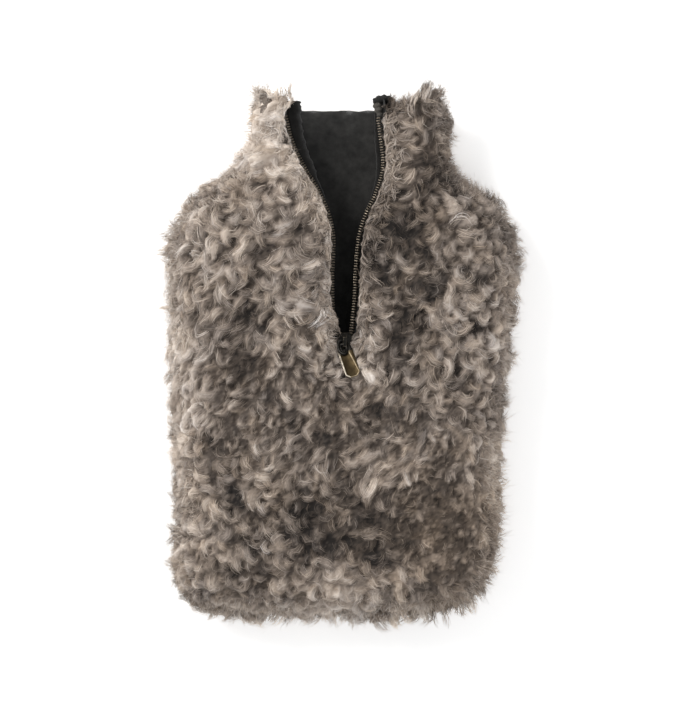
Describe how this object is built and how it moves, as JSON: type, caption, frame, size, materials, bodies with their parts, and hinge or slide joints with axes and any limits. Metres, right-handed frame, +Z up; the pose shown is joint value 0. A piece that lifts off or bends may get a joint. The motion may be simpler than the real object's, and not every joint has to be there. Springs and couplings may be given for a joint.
{
  "type": "hot water bottle cover",
  "caption": "Curly sheepskin cover for a hot water bottle: a hollow pouch with a polo neck, pile outwards, and a half zip that stands open at the front.",
  "frame": {"origin": "on the surface that the back rests on, under the middle of the body", "axes": "+X to the right across the front, +Y up the cover to its neck, +Z up out of the front"},
  "size_m": [0.2408, 0.3558, 0.0706],
  "materials": {
    "wool_front": "curly sheep's wool, taupe, matt",
    "wool_back": "curly sheep's wool, taupe, pressed where it rests",
    "zip_tape": "black woven tape",
    "zip_teeth": "aged brass",
    "zip_slider": "black nickel plated",
    "zip_pull": "aged brass, rubbed bright at its edges"
  },
  "bodies": {
    "root": {"front_panel": "wool_front", "back_panel": "wool_back", "zip_tape_left": "zip_tape", "zip_tape_right": "zip_tape", "zip_teeth_left": "zip_teeth", "zip_teeth_right": "zip_teeth", "zip_slider": "zip_slider", "zip_pull": "zip_pull"}
  },
  "joints": []
}
